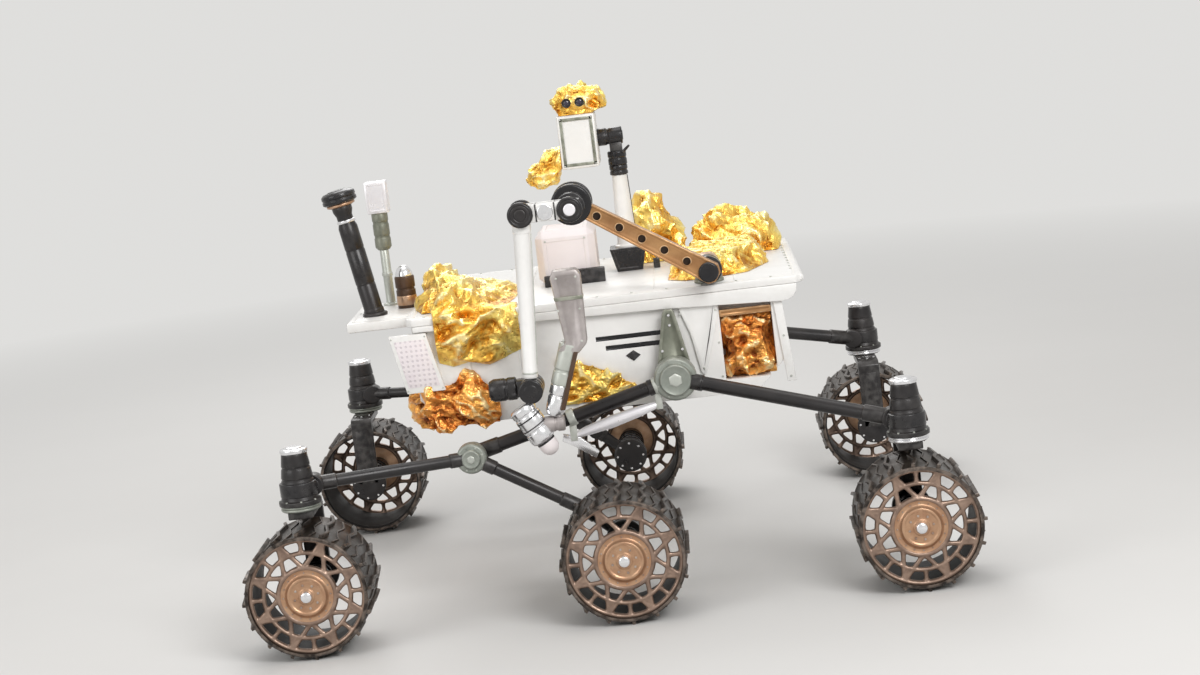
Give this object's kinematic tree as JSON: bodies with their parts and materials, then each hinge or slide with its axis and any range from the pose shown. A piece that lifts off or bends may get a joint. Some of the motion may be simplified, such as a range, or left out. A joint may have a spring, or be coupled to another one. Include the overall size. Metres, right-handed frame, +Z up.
{
  "type": "mars rover display model",
  "caption": "Six-wheeled Mars rover display model with rocker-bogie legs, steered corner wheels, camera mast, folding arm and gold foil wraps.",
  "frame": {"origin": "on the ground, midway between the outermost wheels", "axes": "+X forward, +Y to the rover's left, +Z up"},
  "size_m": [1.14, 1, 0.802],
  "materials": {
    "white_paint": "satin",
    "panel_white": "satin",
    "gold_foil": "crumpled metallised film",
    "black_metal": "satin",
    "wheel_metal": "satin",
    "grey_metal": "satin",
    "bronze_paint": "satin",
    "orange_foil": "crumpled metallised film",
    "dark_glass": "clear"
  },
  "bodies": {
    "chassis": {"body_shell": "white_paint", "deck": "white_paint", "deck_rails": "white_paint", "side_panels": "white_paint", "bay_bars": "bronze_paint", "foil_rear_lower": "orange_foil", "foil_bays": "orange_foil", "foil_mound": "gold_foil", "foil_deck_bundles": "gold_foil", "foil_side_patches": "gold_foil", "deck_box": "panel_white", "deck_fittings": "black_metal", "shelf_drum": "black_metal", "antenna_shelf": "panel_white", "radiator_panel": "panel_white", "antenna_can": "black_metal", "relay_box": "white_paint", "mast": "white_paint", "arm_pedestal": "grey_metal", "rocker_left": "black_metal", "rocker_right": "black_metal", "bogie_left": "black_metal", "bogie_right": "black_metal", "rocker_brackets": "grey_metal"},
    "mast_pan": {"mast_pan": "black_metal"},
    "camera_head": {"camera_box": "white_paint", "camera_foil": "gold_foil", "camera_lenses": "dark_glass"},
    "arm_turntable": {"arm_turntable": "grey_metal"},
    "upper_arm": {"upper_arm": "bronze_paint", "upper_arm_drums": "black_metal"},
    "forearm": {"forearm": "white_paint", "forearm_drums": "black_metal"},
    "turret": {"tool_turret": "grey_metal", "turret_tools": "grey_metal", "turret_drill": "grey_metal"},
    "wheel_rear_right": {"wheel_rear_right": "wheel_metal"},
    "knuckle_rear_right": {"knuckle_rear_right": "black_metal"},
    "wheel_rear_left": {"wheel_rear_left": "wheel_metal"},
    "knuckle_rear_left": {"knuckle_rear_left": "black_metal"},
    "wheel_middle_right": {"wheel_middle_right": "wheel_metal"},
    "wheel_middle_left": {"wheel_middle_left": "wheel_metal"},
    "wheel_front_right": {"wheel_front_right": "wheel_metal"},
    "knuckle_front_right": {"knuckle_front_right": "black_metal"},
    "wheel_front_left": {"wheel_front_left": "wheel_metal"},
    "knuckle_front_left": {"knuckle_front_left": "black_metal"}
  },
  "joints": [
    {"name": "steer_rear_right", "type": "hinge", "parent": "chassis", "child": "knuckle_rear_right", "pos_m": [-0.47, -0.425, 0.1], "axis": [0, 0, 1], "range_deg": [-45, 45]},
    {"name": "roll_rear_right", "type": "hinge", "parent": "knuckle_rear_right", "child": "wheel_rear_right", "pos_m": [-0.47, -0.425, 0.1], "axis": [0, 1, 0], "continuous": true},
    {"name": "steer_rear_left", "type": "hinge", "parent": "chassis", "child": "knuckle_rear_left", "pos_m": [-0.47, 0.425, 0.1], "axis": [0, 0, 1], "range_deg": [-45, 45]},
    {"name": "roll_rear_left", "type": "hinge", "parent": "knuckle_rear_left", "child": "wheel_rear_left", "pos_m": [-0.47, 0.425, 0.1], "axis": [0, 1, 0], "continuous": true},
    {"name": "roll_middle_right", "type": "hinge", "parent": "chassis", "child": "wheel_middle_right", "pos_m": [0.018, -0.425, 0.1], "axis": [0, 1, 0], "continuous": true},
    {"name": "roll_middle_left", "type": "hinge", "parent": "chassis", "child": "wheel_middle_left", "pos_m": [0.018, 0.425, 0.1], "axis": [0, 1, 0], "continuous": true},
    {"name": "steer_front_right", "type": "hinge", "parent": "chassis", "child": "knuckle_front_right", "pos_m": [0.47, -0.425, 0.1], "axis": [0, 0, 1], "range_deg": [-45, 45]},
    {"name": "roll_front_right", "type": "hinge", "parent": "knuckle_front_right", "child": "wheel_front_right", "pos_m": [0.47, -0.425, 0.1], "axis": [0, 1, 0], "continuous": true},
    {"name": "steer_front_left", "type": "hinge", "parent": "chassis", "child": "knuckle_front_left", "pos_m": [0.47, 0.425, 0.1], "axis": [0, 0, 1], "range_deg": [-45, 45]},
    {"name": "roll_front_left", "type": "hinge", "parent": "knuckle_front_left", "child": "wheel_front_left", "pos_m": [0.47, 0.425, 0.1], "axis": [0, 1, 0], "continuous": true},
    {"name": "mast_pan_turn", "type": "hinge", "parent": "chassis", "child": "mast_pan", "pos_m": [0.066, 0.06, 0.656], "axis": [0, 0, 1], "range_deg": [-180, 180]},
    {"name": "camera_tilt", "type": "hinge", "parent": "mast_pan", "child": "camera_head", "pos_m": [0.037, 0.06, 0.705], "axis": [1, 0, 0], "range_deg": [-60, 60]},
    {"name": "shoulder_turn", "type": "hinge", "parent": "chassis", "child": "arm_turntable", "pos_m": [0.196, -0.222, 0.484], "axis": [0, 0, 1], "range_deg": [0, 85]},
    {"name": "shoulder_lift", "type": "hinge", "parent": "arm_turntable", "child": "upper_arm", "pos_m": [0.196, -0.222, 0.5], "axis": [0, 1, 0], "range_deg": [0, 110]},
    {"name": "elbow_bend", "type": "hinge", "parent": "upper_arm", "child": "forearm", "pos_m": [-0.004, -0.327, 0.632], "axis": [0, 1, 0], "range_deg": [0, 120]},
    {"name": "wrist_bend", "type": "hinge", "parent": "forearm", "child": "turret", "pos_m": [-0.098, -0.376, 0.358], "axis": [0, 1, 0], "range_deg": [0, 90]}
  ]
}
